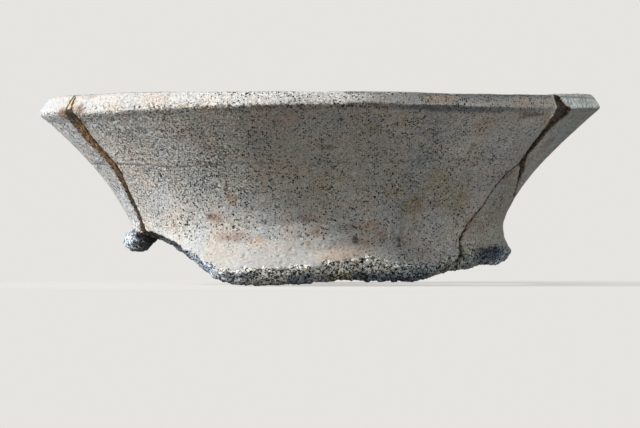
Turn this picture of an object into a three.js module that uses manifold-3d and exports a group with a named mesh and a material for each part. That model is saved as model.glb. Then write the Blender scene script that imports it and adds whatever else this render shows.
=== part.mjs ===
// Neck and rim of a large earthenware jar, put back together from its sherds.
// Millimetres, +Z up. The origin is on the floor under the middle of the ring.
// An angle of 0 is the side that faces the viewer (-Y), and angles grow towards +X.
import * as THREE from 'three';
import { mergeVertices } from 'three/addons/utils/BufferGeometryUtils.js';
import Module from 'manifold-3d';

const wasm = await Module();
wasm.setup();

// Driving dimensions of the turned pot: the lip's lower corner is the widest place
const RIM_RADIUS = 77.7;
const RIM_TOP = 52.2;
const LIP_HEIGHT = 4.2;
const LIP_BEVEL = 3.1;
const LIP_LAND = 3.0;
const NECK_RADIUS = 51.3;
const NECK_LEVEL = 15.8;
const WALL = 5.5;
const SHOULDER_RADIUS = 64.3; // at the floor
const SHOULDER_WALL = 10.0; // measured level, where the shoulder slopes most
const FLARE_POWER = 1.46;
const BREAK_SWELL = 0.7;

// How finely the ring is divided
const FULL_TURN = 360;
const STEPS_ROUND = 120;
const OUTER_ROWS = 12;
const INNER_ROWS = 8;

// Joints between the sherds
const SKIN_GAP = 0.3;
const FILL_SINK = 0.4;
const CUT_OVERRUN = 8;
const CUT_INSIDE_RADIUS = NECK_RADIUS - WALL - CUT_OVERRUN;
const CUT_OUTSIDE_RADIUS = RIM_RADIUS + CUT_OVERRUN;
const SLAB_CORNERS = 4;

// The lip wavers: angle, drop of its top under RIM_TOP, height as a share of LIP_HEIGHT
const LIP = [
  [-180, 0.5, 0.90], [-135, 0.8, 0.93], [-90, 1.0, 1.02], [-68, 0.8, 1.07], [-57, 0.6, 1.19],
  [-44, 0.5, 1.17], [-33, 0.45, 1.05], [-17, 0.45, 0.93], [-8, 0.45, 0.88], [3, 0.45, 0.87],
  [9, 0.5, 0.73], [20, 0.65, 0.79], [30, 0.9, 0.78], [44, 0.95, 0.83], [58, 0.9, 0.81],
  [63, 0.45, 0.93], [75, 0.2, 0.90], [90, 0.0, 0.86], [135, 0.2, 0.86],
];

// The broken edge: angle, height of its outer and of its inner arris
const BREAK = [
  [-180, 4.6, 1.2], [-168, 4.9, 1.3], [-158, 3.9, 0.0], [-150, 4.6, 1.4], [-144, 6.4, 3.0],
  [-138, 8.6, 5.6], [-132, 10.6, 8.0], [-126, 12.2, 10.4], [-118, 13.6, 12.3], [-108, 14.4, 13.4],
  [-100, 13.4, 12.4], [-92, 11.4, 9.9], [-85, 10.8, 9.2], [-78, 11.4, 9.4], [-72, 13.0, 10.6],
  [-66, 15.0, 13.2], [-60, 14.5, 13.3], [-54, 13.5, 12.2], [-48, 12.1, 10.2], [-45, 11.1, 8.6],
  [-42, 9.8, 7.2], [-39, 8.8, 5.6], [-36, 7.8, 4.0], [-34, 7.2, 3.3], [-32, 6.1, 2.6],
  [-30, 5.0, 1.8], [-28, 4.2, 1.1],
  [-24, 3.8, 0.3], [-20, 3.6, 0.1], [-15, 4.6, 0.0], [-10, 4.8, 0.2], [-5, 4.9, 0.3],
  [0, 5.2, 0.8], [5, 6.2, 1.1], [10, 7.3, 1.6], [14, 7.1, 1.1], [20, 5.9, 1.1],
  [25, 4.9, 0.9], [29, 5.1, 0.9], [34, 5.6, 1.8], [39, 6.1, 3.2], [45, 7.5, 4.1],
  [50, 8.7, 3.9], [54, 9.4, 4.7], [60, 10.1, 5.2], [72, 10.2, 5.3], [82, 9.6, 5.2],
  [90, 9.2, 5.6], [98, 9.1, 5.9], [108, 8.7, 5.6], [118, 7.9, 5.1], [126, 6.6, 3.8],
  [134, 6.2, 3.2], [140, 5.0, 2.3], [146, 4.0, 1.0], [151, 3.6, 0.0], [160, 4.4, 1.0],
  [170, 5.0, 1.6],
];

// Each crack runs from the rim down: share of RIM_TOP, angle, width of its filling (0 where closed)
const CRACKS = {
  left: [
    [1.000, -63.4, 1.0], [0.949, -63.0, 1.7], [0.917, -62.3, 2.4], [0.891, -61.2, 3.8], [0.860, -61.8, 5.2],
    [0.804, -63.2, 5.4], [0.769, -63.7, 4.7], [0.727, -64.0, 4.4], [0.681, -63.6, 3.6], [0.634, -63.3, 3.2],
    [0.583, -63.7, 3.4], [0.527, -65.5, 2.4], [0.469, -67.0, 1.9], [0.411, -67.8, 2.4], [0.375, -67.6, 1.8],
    [0.328, -67.5, 1.7], [0.281, -66.3, 2.1], [0.200, -64.5, 2.1],
  ],
  right: [
    [1.000, 60.4, 2.6], [0.952, 59.3, 3.2], [0.931, 58.9, 4.2], [0.910, 60.1, 7.4], [0.886, 61.3, 7.2],
    [0.865, 61.4, 5.8], [0.842, 61.3, 4.4], [0.818, 61.5, 3.2], [0.783, 61.9, 2.9], [0.748, 62.4, 3.0],
    [0.706, 62.8, 2.4], [0.668, 63.1, 1.6], [0.634, 64.3, 2.8], [0.595, 68.4, 2.6], [0.565, 70.6, 1.8],
    [0.535, 72.9, 1.0], [0.509, 75.2, 0], [0.480, 77.6, 0], [0.430, 85.0, 0], [0.290, 100.0, 0],
    [0.140, 113.0, 0], [0.040, 120.0, 0],
  ],
  hairline: [
    [0.640, 64.4, 0], [0.594, 61.0, 0], [0.568, 59.8, 0], [0.538, 59.3, 0], [0.491, 58.8, 0],
    [0.440, 58.2, 0], [0.405, 57.8, 0], [0.371, 56.0, 0], [0.332, 54.1, 0], [0.285, 51.6, 0],
    [0.243, 48.9, 0], [0.208, 47.6, 0], [0.165, 46.8, 0], [0.132, 44.1, 0], [0.102, 41.1, 0],
    [0.050, 38.5, 0],
  ],
  back_left: [
    [1.000, -141.0, 1.4], [0.850, -139.0, 1.8], [0.660, -136.5, 1.5], [0.460, -139.5, 1.3], [0.230, -137.0, 1.2],
    [0.090, -139.0, 1.2],
  ],
  back_right: [
    [1.000, 146.0, 1.6], [0.810, 149.0, 1.4], [0.600, 146.5, 1.6], [0.390, 150.0, 1.3], [0.160, 147.0, 1.2],
    [0.020, 148.5, 1.2],
  ],
};

const CLAY = new THREE.MeshStandardMaterial({ color: 0xb3b0aa, roughness: 0.92, metalness: 0 });
const ADHESIVE = new THREE.MeshStandardMaterial({ color: 0x6d4a26, roughness: 0.6, metalness: 0 });

const radians = THREE.MathUtils.degToRad;
const lerp = THREE.MathUtils.lerp;

// The values of a table at an angle, between its two nearest rows and round past the last one
function rowAt(table, angle) {
  const rows = [...table, [table[0][0] + FULL_TURN, ...table[0].slice(1)]];
  const next = rows.findIndex((row) => row[0] > angle);
  const [a, b] = [rows[next - 1], rows[next]];
  const share = (angle - a[0]) / (b[0] - a[0]);
  return a.map((value, i) => lerp(value, b[i], share)).slice(1);
}

// Radius of a turned face at a height: it flares above the neck, and spreads to the shoulder under it
function turnedRadius(z, neck, shoulder, brim, brimLevel) {
  if (z < NECK_LEVEL) return neck + (shoulder - neck) * ((NECK_LEVEL - z) / NECK_LEVEL) ** 2;
  return neck + (brim - neck) * ((z - NECK_LEVEL) / (brimLevel - NECK_LEVEL)) ** FLARE_POWER;
}

function outerRadius(z) {
  return turnedRadius(z, NECK_RADIUS, SHOULDER_RADIUS, RIM_RADIUS, RIM_TOP - LIP_HEIGHT);
}

function innerRadius(z, brim, brimLevel) {
  return turnedRadius(z, NECK_RADIUS - WALL, SHOULDER_RADIUS - SHOULDER_WALL, brim, brimLevel);
}

// The closed section of the wall at an angle, as radius and height; sink draws every face in
function section(angle, sink) {
  const [outerBreak, innerBreak] = rowAt(BREAK, angle);
  const [drop, share] = rowAt(LIP, angle);
  const top = RIM_TOP - drop;
  const lipLow = top - LIP_HEIGHT * share;
  const edge = outerRadius(lipLow) - LIP_BEVEL * share;
  const points = [];
  for (let i = 0; i < OUTER_ROWS; i++) {
    const z = lerp(outerBreak + sink, lipLow, i / (OUTER_ROWS - 1));
    points.push([outerRadius(z) - sink, z]);
  }
  points.push([edge - sink, top - sink]);
  for (let i = 0; i < INNER_ROWS; i++) {
    const z = lerp(top - sink, innerBreak + sink, i / (INNER_ROWS - 1));
    points.push([innerRadius(z, edge - LIP_LAND, top) + sink, z]);
  }
  const first = new THREE.Vector2(...points[0]);
  const last = new THREE.Vector2(...points[points.length - 1]);
  const swell = first.clone().sub(last).normalize().multiplyScalar(BREAK_SWELL - sink);
  const middle = first.add(last).divideScalar(2);
  points.push([middle.x + swell.y, middle.y - swell.x]);
  return points;
}

function place(radius, angle, z) {
  return [radius * Math.sin(angle), -radius * Math.cos(angle), z];
}

function geometryOf(vertices, faces) {
  const geometry = new THREE.BufferGeometry();
  geometry.setAttribute('position', new THREE.Float32BufferAttribute(vertices.flat(), 3));
  geometry.setIndex(faces.flat());
  return geometry;
}

// The two triangles of a four-sided face
function quad(a, b, c, d) {
  return [[a, b, c], [a, c, d]];
}

// The whole ring, before it broke
function ringGeometry(sink) {
  const vertices = [];
  const faces = [];
  let rows = 0;
  for (let i = 0; i < STEPS_ROUND; i++) {
    const degrees = (FULL_TURN * i) / STEPS_ROUND - FULL_TURN / 2;
    const points = section(degrees, sink);
    rows = points.length;
    for (const [radius, z] of points) vertices.push(place(radius, radians(degrees), z));
  }
  for (let i = 0; i < STEPS_ROUND; i++) {
    const here = i * rows;
    const there = ((i + 1) % STEPS_ROUND) * rows;
    for (let j = 0; j < rows; j++) {
      const up = (j + 1) % rows;
      faces.push(...quad(here + j, there + j, there + up, here + up));
    }
  }
  return geometryOf(vertices, faces);
}

// A thin curved slab along a crack, through the whole wall: its width is measured level where the crack
// is filled, and square to the crack's own direction where it is closed
function slabGeometry(rows) {
  const vertices = [];
  const faces = [];
  rows.forEach(([z, degrees, width], i) => {
    const from = rows[Math.max(i - 1, 0)];
    const to = rows[Math.min(i + 1, rows.length - 1)];
    const run = new THREE.Vector2(outerRadius(z) * radians(to[1] - from[1]), to[0] - from[0]);
    const square = run.normalize().rotateAround(new THREE.Vector2(), Math.PI / 2);
    const across = width > SKIN_GAP ? new THREE.Vector2(1, 0) : square;
    const turn = (across.x * width) / 2 / outerRadius(z);
    const rise = (across.y * width) / 2;
    const angle = radians(degrees);
    for (const side of [-1, 1]) {
      const ends = [CUT_INSIDE_RADIUS, CUT_OUTSIDE_RADIUS];
      if (side > 0) ends.reverse();
      for (const radius of ends) vertices.push(place(radius, angle + side * turn, z + side * rise));
    }
  });
  for (let i = 0; i + 1 < rows.length; i++) {
    const here = SLAB_CORNERS * i;
    for (let j = 0; j < SLAB_CORNERS; j++) {
      const next = (j + 1) % SLAB_CORNERS;
      const corners = [here + j, here + SLAB_CORNERS + j, here + SLAB_CORNERS + next, here + next];
      if (j === 2) corners.push(corners.shift()); // so that both sides fold along the same diagonal
      faces.push(...quad(...corners));
    }
  }
  const last = SLAB_CORNERS * (rows.length - 1);
  faces.push(...quad(0, 1, 2, 3), ...quad(last + 3, last + 2, last + 1, last));
  return geometryOf(vertices, faces);
}

function solid(geometry) {
  const merged = mergeVertices(geometry, 1e-4);
  return new wasm.Manifold(new wasm.Mesh({
    numProp: 3,
    vertProperties: new Float32Array(merged.attributes.position.array),
    triVerts: new Uint32Array(merged.index.array),
  }));
}

function meshOf(name, body, material) {
  const { vertProperties, triVerts } = body.getMesh();
  const geometry = new THREE.BufferGeometry();
  geometry.setAttribute('position', new THREE.BufferAttribute(vertProperties, 3));
  geometry.setIndex(new THREE.BufferAttribute(triVerts, 1));
  geometry.computeVertexNormals();
  const mesh = new THREE.Mesh(geometry, material);
  mesh.name = name;
  return mesh;
}

// The rows of a crack with real heights, run on past the rim and past the broken edge where it reaches them
function crackRows(rows, overBreak) {
  const high = rows.map(([share, angle, width]) => [share * RIM_TOP, angle, width]);
  const [first, last] = [high[0], high[high.length - 1]];
  const head = first[0] >= RIM_TOP ? [[first[0] + CUT_OVERRUN, first[1], first[2]]] : [];
  const tail = overBreak ? [[last[0] - 2 * CUT_OVERRUN, last[1], last[2]]] : [];
  return [...head, ...high, ...tail];
}

function cutRows(rows) {
  const widened = rows.map(([share, angle, width]) => [share, angle, width ? width + 2 * SKIN_GAP : SKIN_GAP]);
  return crackRows(widened, true);
}

function fillRows(rows) {
  const filled = rows.filter((row) => row[2] > 0);
  return crackRows(filled, filled.length === rows.length);
}

// The angle at which a crack leaves the rim
function rimAngle(crack) {
  return crack[0][1];
}

// Which sherd a loose body is: the cracks on either side of its middle tell, and whether it has a piece of rim
function sherdName(body) {
  const box = body.boundingBox();
  const [x, y] = [(box.min[0] + box.max[0]) / 2, (box.min[1] + box.max[1]) / 2];
  const angle = THREE.MathUtils.radToDeg(Math.atan2(x, -y));
  if (angle < rimAngle(CRACKS.back_left) || angle > rimAngle(CRACKS.back_right)) return 'back_sherd';
  if (angle < rimAngle(CRACKS.left)) return 'left_sherd';
  if (angle < rimAngle(CRACKS.right)) return 'front_sherd';
  return box.max[2] > RIM_TOP - LIP_HEIGHT ? 'right_rim_sherd' : 'right_lower_sherd';
}

const jar = new THREE.Group();

let ring = solid(ringGeometry(0));
for (const rows of Object.values(CRACKS)) ring = ring.subtract(solid(slabGeometry(cutRows(rows))));
for (const body of ring.decompose()) jar.add(meshOf(sherdName(body), body, CLAY));

const fillRing = solid(ringGeometry(FILL_SINK));
for (const [name, rows] of Object.entries(CRACKS)) {
  if (rows[0][2] === 0) continue;
  jar.add(meshOf(`${name}_adhesive`, fillRing.intersect(solid(slabGeometry(fillRows(rows)))), ADHESIVE));
}

export default jar;
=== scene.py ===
"""Dresses the neck of a large earthenware jar: its sherds, with their skin and breaks, and their glue."""

import math

import bpy
import numpy as np
from bpy.props import FloatProperty, FloatVectorProperty, PointerProperty
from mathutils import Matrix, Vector, noise
from mathutils.bvhtree import BVHTree
from mathutils.kdtree import KDTree


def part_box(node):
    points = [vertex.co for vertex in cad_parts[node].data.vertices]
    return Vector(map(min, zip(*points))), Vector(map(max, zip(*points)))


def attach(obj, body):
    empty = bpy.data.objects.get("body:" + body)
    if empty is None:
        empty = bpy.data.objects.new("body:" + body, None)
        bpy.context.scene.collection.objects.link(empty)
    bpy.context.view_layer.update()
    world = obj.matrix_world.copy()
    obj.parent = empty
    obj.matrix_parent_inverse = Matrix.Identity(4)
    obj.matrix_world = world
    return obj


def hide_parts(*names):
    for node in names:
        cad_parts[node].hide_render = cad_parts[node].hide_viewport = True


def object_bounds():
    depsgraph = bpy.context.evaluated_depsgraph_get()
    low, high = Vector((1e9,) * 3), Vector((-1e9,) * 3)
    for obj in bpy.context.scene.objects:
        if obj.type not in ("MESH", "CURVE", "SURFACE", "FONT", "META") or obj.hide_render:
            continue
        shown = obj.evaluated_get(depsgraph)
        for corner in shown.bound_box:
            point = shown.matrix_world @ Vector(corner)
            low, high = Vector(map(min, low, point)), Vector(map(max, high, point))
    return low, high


bl_info = {
    "name": "Mended jar neck",
    "version": (1, 1, 0),
    "blender": (4, 5, 0),
    "location": "View3D > Sidebar > Jar",
    "description": "Skins, breaks and glue seams of a jar neck that was put back together",
    "category": "Object",
}

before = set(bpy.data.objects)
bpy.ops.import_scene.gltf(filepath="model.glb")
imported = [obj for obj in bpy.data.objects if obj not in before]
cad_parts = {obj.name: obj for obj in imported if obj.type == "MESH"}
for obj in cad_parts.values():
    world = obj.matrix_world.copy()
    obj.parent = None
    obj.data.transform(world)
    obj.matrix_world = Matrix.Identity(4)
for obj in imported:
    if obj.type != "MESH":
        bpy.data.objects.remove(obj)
CAD_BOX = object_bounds()
MM = 0.001

# The most triangles that one sherd may have
MOST_TRIANGLES = 190_000

# The turned outer face, in millimetres, as the solids have it
RIM_RADIUS = 77.7
RIM_TOP = 52.2
LIP_HEIGHT = 4.2
NECK_RADIUS = 51.3
NECK_LEVEL = 15.8
SHOULDER_RADIUS = 64.3
WALL = 5.5
SHOULDER_WALL = 10.0
FLARE_POWER = 1.46
LIP_FOOT = RIM_TOP - LIP_HEIGHT
FLARE_HEIGHT = LIP_FOOT - NECK_LEVEL

# No break reaches above BREAK_TOP, and above LIP_ZONE the wall turns into the lip
BREAK_TOP = 16.5
LIP_ZONE = 45.5

# The sherds and the tint of each one's clay, which is measured against PLAIN_CLAY
PLAIN_CLAY = "#B2B0AB"
SHERD_TINTS = {
    "front_sherd": "#B2B0AD",
    "left_sherd": "#ACADAF",
    "back_sherd": "#B0AEA9",
    "right_rim_sherd": "#B1B3AF",
    "right_lower_sherd": "#A6A49C",
}

# The glue seams and how deep each lies under the skin, in millimetres
SEAM_DEPTHS = {
    "left_adhesive": 0.1,
    "right_adhesive": 1.0,
    "back_left_adhesive": 0.25,
    "back_right_adhesive": 0.25,
}

# How far the glue grows to close the hairline to its sherds, in millimetres
GLUE_SWELL = 0.36

# Settings of a Mix node that lays one colour over another, and of one that multiplies them
OVER = {"data_type": "RGBA"}
TIMES = {"data_type": "RGBA", "blend_type": "MULTIPLY"}

# Spacing of the grains in the clay, in millimetres. Much of the real sand and dust is finer than a
# picture of the whole neck can show, so it is drawn as coarse as this
SAND = 0.34
DUST = 0.48
SMALL_SPECKS = 0.54
PALE_GRIT = 0.75
LARGE_SPECKS = 1.20
CORE_GRAINS = 0.44
GLUE_CRUMBS = 0.60

# Size of the noise that frays the edges of those grains, in millimetres
RAGGED = 0.60

# The paper takes the object's shadow up to one distance and is all backdrop from the other, in metres
SHADOW_END = 0.05
BACKDROP_START = 0.14

# Tones that the stains on the skin take
TONES = {
    "rust": "#7C5440",
    "umber": "#4E3527",
    "orange": "#A67E56",
    "pink": "#A58A7E",
    "olive": "#8C8360",
    "peach": "#D9BFA6",
    "white": "#E3E1DC",
    "soot": "#5C636A",
    "ink": "#26221F",
    "frost": "#EAF4F2",
    "glue": "#5B3A1C",
}

# Stains of iron, the rust and orange ones, are laid at this share of their strength
IRON = 0.75

# Stains: tone, angle round the pot, height, half width and half height in millimetres, strength
STAINS = (
    # The throat
    ("pink", -6.1, 44.8, 3.2, 2.0, 0.36), ("pink", -11.1, 44.6, 3.6, 1.4, 0.26),
    ("pink", 9.1, 45.0, 3.6, 1.4, 0.28), ("pink", 7.3, 42.8, 2.0, 1.8, 0.28),
    ("pink", 15.9, 38.6, 3.0, 2.6, 0.30), ("olive", 11.9, 42.3, 1.8, 1.3, 0.50),
    ("umber", -45.9, 40.7, 1.7, 0.8, 0.60), ("umber", -41.2, 41.9, 1.5, 0.5, 0.50),
    ("rust", -36.4, 42.1, 1.4, 0.6, 0.45),
    # The neck, from left to right
    ("orange", -24.4, 23.6, 1.6, 2.0, 0.70), ("rust", -31.0, 18.4, 2.8, 1.1, 0.70),
    ("umber", -32.3, 18.5, 1.2, 0.7, 0.80), ("rust", -28.5, 13.1, 2.2, 1.2, 0.60),
    ("rust", -25.2, 13.3, 2.4, 1.4, 0.55), ("rust", -21.9, 13.1, 2.6, 1.6, 0.55),
    ("orange", -17.2, 12.1, 1.6, 1.0, 0.75), ("rust", -2.9, 18.4, 2.0, 1.4, 0.65),
    ("rust", -2.3, 11.4, 0.6, 0.8, 0.95), ("rust", -47.9, 16.4, 0.6, 0.5, 0.95),
    ("orange", -0.1, 14.6, 2.4, 1.4, 0.50), ("rust", 10.9, 15.9, 1.6, 1.0, 0.55),
    ("orange", 16.2, 16.5, 2.6, 1.2, 0.70), ("rust", 14.4, 11.5, 3.0, 1.2, 0.45),
    ("rust", 20.0, 13.7, 1.4, 1.6, 0.65), ("olive", 9.7, 27.5, 6.0, 2.2, 0.25),
    ("olive", 21.4, 26.0, 3.0, 1.8, 0.50), ("orange", 20.3, 30.9, 3.0, 1.4, 0.30),
    ("olive", 34.0, 27.9, 4.0, 3.4, 0.55), ("olive", 41.4, 25.6, 4.0, 4.0, 0.45),
    ("olive", 28.8, 20.8, 3.6, 3.0, 0.55), ("rust", 29.6, 21.8, 1.8, 1.4, 0.60),
    ("rust", 37.1, 22.4, 2.2, 1.8, 0.65), ("olive", 45.3, 22.5, 4.0, 3.6, 0.45),
    ("rust", 24.7, 40.5, 3.0, 0.6, 0.45), ("orange", 39.5, 43.0, 3.6, 2.2, 0.35),
    ("orange", 57.6, 45.5, 3.4, 2.0, 0.45), ("rust", 53.9, 17.1, 2.4, 2.0, 0.60),
    ("rust", 60.6, 29.3, 2.0, 1.6, 0.50), ("rust", 69.5, 38.6, 2.2, 1.6, 0.60),
    # Glue smeared beside the seams
    ("glue", 50.7, 46.0, 4.6, 0.7, 0.75), ("glue", 48.4, 45.2, 1.6, 0.5, 0.55),
    ("glue", -64.5, 46.6, 2.8, 1.2, 0.95), ("glue", -60.1, 45.8, 2.4, 1.6, 0.95),
    ("glue", -59.7, 44.6, 1.9, 2.0, 0.80), ("glue", -72.4, 42.6, 0.4, 2.2, 0.75),
    ("glue", -57.8, 47.9, 1.2, 0.9, 0.95), ("glue", -56.9, 46.9, 1.9, 0.7, 0.85),
    ("glue", -70.6, 41.4, 0.35, 1.9, 0.60),
    # Pale patches over the front break, and small dark holes
    ("peach", 9.2, 8.6, 8.0, 1.8, 0.35), ("peach", 4.4, 7.2, 4.0, 1.2, 0.35),
    ("peach", -20.0, 9.5, 9.0, 2.4, 0.15), ("ink", 11.7, 12.4, 0.75, 0.95, 0.90),
    ("ink", 25.4, 12.4, 0.5, 0.6, 0.85), ("ink", 25.0, 10.8, 0.5, 0.6, 0.85),
    ("ink", 2.8, 37.0, 1.5, 0.6, 0.50), ("ink", -8.8, 43.6, 0.4, 0.5, 0.90),
    ("ink", 5.2, 44.2, 0.5, 0.4, 0.90), ("ink", 43.8, 32.4, 0.6, 0.4, 0.85),
    # The lip
    ("pink", -55.5, 50.9, 1.6, 0.8, 0.55), ("pink", -34.6, 50.2, 3.4, 1.0, 0.30),
    ("ink", 8.4, 51.5, 3.0, 0.35, 0.70), ("ink", 12.4, 51.2, 1.6, 0.3, 0.55),
    ("peach", 25.1, 49.6, 4.2, 0.9, 0.50), ("orange", 46.8, 50.6, 1.0, 0.9, 0.50),
    ("peach", 46.0, 49.4, 2.6, 1.0, 0.40),
    # The foot of the right-hand seam, and the wall right of it
    ("ink", 39.2, 37.3, 0.7, 0.9, 0.50), ("soot", 64.0, 9.6, 8.0, 1.6, 0.55),
    ("soot", 82.0, 9.6, 8.0, 2.4, 0.50), ("soot", 50.0, 8.4, 4.0, 1.6, 0.30),
    ("ink", 47.5, 10.7, 0.5, 0.55, 1.00), ("ink", 47.9, 9.6, 0.35, 0.8, 0.90),
    ("orange", 48.9, 8.6, 0.9, 0.8, 0.80), ("rust", 44.9, 10.7, 0.8, 0.4, 0.70),
    ("white", 52.6, 11.7, 2.2, 0.28, 0.60), ("ink", 53.0, 11.0, 2.0, 0.22, 0.60),
    ("white", 53.2, 10.4, 1.6, 0.25, 0.50), ("rust", 60.5, 15.6, 1.6, 1.2, 0.70),
)

# Places where the skin has come away: angle, height, half width, half height, in millimetres
SPALLS = (
    (-74.0, 13.0, 4.4, 2.2), (46.3, 8.2, 1.2, 2.2), (-104.0, 15.0, 5.0, 0.8), (128.0, 8.0, 4.0, 1.2),
)

# Tone of the broken wall round the pot: angle, colour of its grains, how bright they are. The dark tones from
# -68 to -48 degrees are painted shade on the break's underside right of the knob
CORE = (
    (-180, "#C8CCCE", 1.0), (-110, "#C8CCCE", 1.0), (-92, "#DDE4E8", 1.2), (-74, "#CDD6DE", 1.1),
    (-68, "#6A7078", 0.5), (-58, "#60666E", 0.4), (-48, "#808890", 0.6), (-42, "#AEBAC8", 0.9),
    (-32, "#B8C4D0", 1.0), (-27, "#BCC0C4", 1.6), (-19, "#BCBFC0", 1.6), (-16, "#D6D6CC", 1.5),
    (-9, "#D8D4C6", 1.5), (-7, "#9AA6B8", 0.95), (-4, "#98A4B6", 0.95), (-1, "#C4C6C6", 1.3),
    (3, "#C4C4BE", 0.9), (5, "#D6CEAE", 1.2), (8, "#D2CAAA", 1.1), (10, "#B4BCC0", 0.9),
    (15, "#98A8B2", 0.8), (20, "#A8B4BC", 1.1), (33, "#9CAAB4", 1.0), (36, "#C4C8BE", 1.1),
    (49, "#C2C6BC", 1.1), (55, "#A4A8A8", 0.9), (70, "#A8ACAE", 0.9), (77, "#BCC4C8", 1.1),
    (85, "#C0C8CE", 1.2), (180, "#C8CCCE", 1.0),
)

# The line scored round the wall by the turning tool: angle, height, strength
GROOVE = (
    (-180, 32.4, 0.3), (-120, 32.8, 0.5), (-62, 32.8, 1.0), (-43, 31.7, 1.0), (-36, 31.6, 0.8),
    (-24, 32.2, 0.5), (-9, 32.9, 0.3), (10, 33.0, 0.3), (30, 33.2, 0.5), (42, 34.0, 0.5),
    (70, 33.6, 0.2), (120, 33.0, 0.4), (180, 32.4, 0.3),
)

# Stretches round the pot, in degrees: where each starts, is whole, starts to end and has ended
STRETCHES = {
    "knob": (-102, -98, -73, -68),
    "knob skin": (-102, -98, -75, -70),
    "left side": (-120, -119.9, -66.1, -66),
    "left flare": (-100, -99.9, -69, -66),
    "left waist": (-150, -120, -80, -70),
    "left lip": (-150, -120, 0, 30),
    "rolled lip": (-150, -130, -55, -40),
    "blunt lip": (-150, -130, 4, 16),
    "crumbly lip": (-50, -40, 2, 14),
    "lip brink": (-64, -54, 8, 20),
    "right lip": (6, 24, 58, 60),
    "scraped lip": (50, 50.1, 60.4, 60.5),
    "far lip": (59, 59.1, 129.9, 130),
    "far rim": (58, 58.1, 99.9, 100),
    "shade under left lip": (-76, -70, -40, -24),
    "shade under lip": (-60, -20, -10, 10),
    "glue spatter": (-90, -89.9, -40.1, -40),
    "smooth foot": (-64, -50, 5, 25),
    "sharp edge": (-75, -68, -45, -41),
    "crumbled edge": (8, 16, 50, 56),
    "front break": (-30, -24, 46, 50),
    "right break": (50, 56, 84, 90),
}

# Dark hollows low on the front: angle, height, half width and half height in millimetres, strength
SPOTS = ((11.7, 12.4, 0.7, 1.0, 0.45), (25.2, 11.6, 0.6, 1.4, 0.30))

# A smooth, slate-blue painted shadow line runs under the overhang of the right half of the lip: how far down
# it reaches at an angle, in millimetres, and how strong it is at an angle
LIP_SHADOW_REACH = ((8, 1.9), (16, 2.0), (26, 2.9), (40, 2.4), (48, 1.8), (58, 1.4))
LIP_SHADOW_STRENGTH = ((-8, 0.0), (10, 0.6), (22, 1.0), (36, 1.0), (44, 0.75), (56, 0.4))

# Where the lamps look, in metres
POT_MIDDLE = Vector((0, 0, 0.03))


def hex_colour(code):
    """An sRGB hex value as linear RGBA."""
    channels = [int(code[i:i + 2], 16) / 255 for i in (1, 3, 5)]
    return [c / 12.92 if c <= 0.04045 else ((c + 0.055) / 1.055) ** 2.4 for c in channels] + [1.0]


def as_rgba(colour):
    """RGBA of a hex value, of a grey level or of three channels."""
    if isinstance(colour, str):
        return hex_colour(colour)
    if isinstance(colour, float):
        return (colour, colour, colour, 1.0)
    return (*colour, 1.0)


def smoothstep(low, high, value):
    """From 0 to 1 as a value goes from low to high; low may be the larger one."""
    share = np.clip((value - low) / (high - low), 0.0, 1.0)
    return share * share * (3 - 2 * share)


def window(value, start, whole, ending, end):
    """1 from whole to ending, falling to 0 at start and at end."""
    return smoothstep(start, whole, value) * smoothstep(end, ending, value)


def hump(value, middle, width):
    """1 in the middle, falling off to both sides over a width."""
    return np.exp(-(((value - middle) / width) ** 2))


def stretch(place, name):
    """1 in a named stretch round the pot, 0 elsewhere."""
    return window(place["angle"], *STRETCHES[name])


def line_through(points, value):
    """The height of the line through some points at each value."""
    return np.interp(value, *zip(*points))


def outer_radius(z):
    """Radius of the turned outer face at heights in millimetres."""
    low = NECK_RADIUS + (SHOULDER_RADIUS - NECK_RADIUS) * ((NECK_LEVEL - z) / NECK_LEVEL) ** 2
    share = np.maximum(z - NECK_LEVEL, 0.0) / FLARE_HEIGHT
    high = NECK_RADIUS + (RIM_RADIUS - NECK_RADIUS) * share ** FLARE_POWER
    return np.where(z < NECK_LEVEL, low, high)


def depth_in_wall(z, radius):
    """How deep in the wall of neck or shoulder a point lies, in millimetres; 0 on either turned face."""
    down = np.maximum(NECK_LEVEL - z, 0.0) / NECK_LEVEL
    inner = NECK_RADIUS - WALL + (SHOULDER_RADIUS - SHOULDER_WALL - NECK_RADIUS + WALL) * down ** 2
    lean = np.hypot(1, 2 * down * (SHOULDER_RADIUS - NECK_RADIUS) / NECK_LEVEL)
    return np.minimum(outer_radius(z) - radius, radius - inner) / lean


def per(size):
    """The scale of a pattern whose repeat is a size in millimetres."""
    return 1 / (size * MM)


def noise_at(points, size):
    """Soft noise from -1 to 1 at each point, with features of a size in millimetres."""
    scale = per(size)
    return np.array([noise.noise(Vector(point) * scale) for point in points])


def add_node(tree, kind, inputs=None, stops=None, **settings):
    """Adds a shader node of a kind, such as TexNoise; an input is a value or another node's socket."""
    node = tree.nodes.new("ShaderNode" + kind)
    for name, value in settings.items():
        setattr(node, name, value)
    for name, value in (inputs or {}).items():
        if isinstance(value, bpy.types.NodeSocket):
            tree.links.new(value, node.inputs[name])
        else:
            node.inputs[name].default_value = value
    if stops:
        elements = node.color_ramp.elements
        while len(elements) < len(stops):
            elements.new(0.5)
        for element, (position, colour) in zip(elements, stops):
            element.position = position
            element.color = as_rgba(colour)
    return node


def new_material(name):
    """A material with its node tree and its main shader."""
    material = bpy.data.materials.new(name)
    material.use_nodes = True
    tree = material.node_tree
    return material, tree, tree.nodes["Principled BSDF"]


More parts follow.
